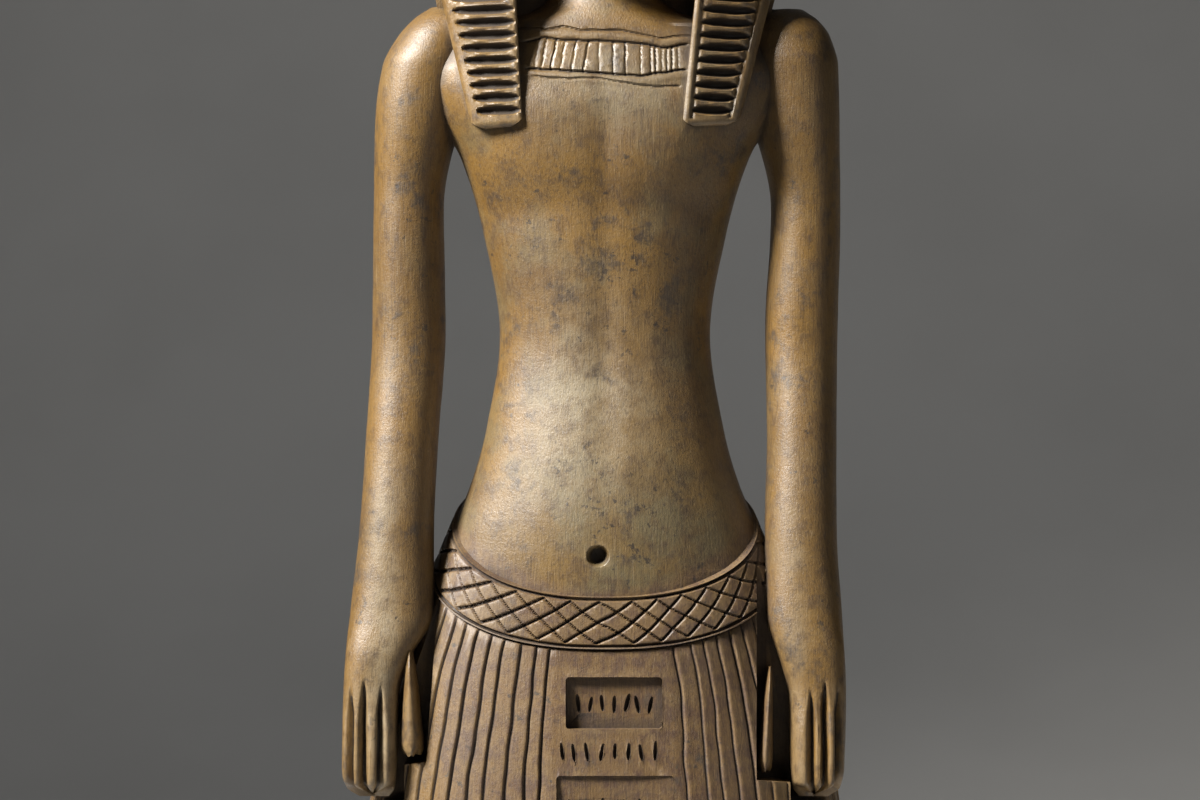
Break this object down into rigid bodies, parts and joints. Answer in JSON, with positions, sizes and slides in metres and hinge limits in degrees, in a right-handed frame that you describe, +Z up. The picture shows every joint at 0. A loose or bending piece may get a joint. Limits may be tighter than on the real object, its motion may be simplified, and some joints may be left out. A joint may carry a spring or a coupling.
{
  "type": "standing pharaoh statue",
  "caption": "Standing ruler carved in one block of brown stone: striped head cloth, collar, arms at the sides, lattice belt, pleated kilt and a low base.",
  "frame": {"origin": "middle of the base's underside", "axes": "+Z up, the figure faces -Y, its left arm is towards +X"},
  "size_m": [0.0544, 0.0418, 0.21],
  "materials": {
    "stone": "worn satin, with fine abrasion lines and darker cuts"
  },
  "bodies": {
    "root": {"statue": "stone"}
  },
  "joints": []
}
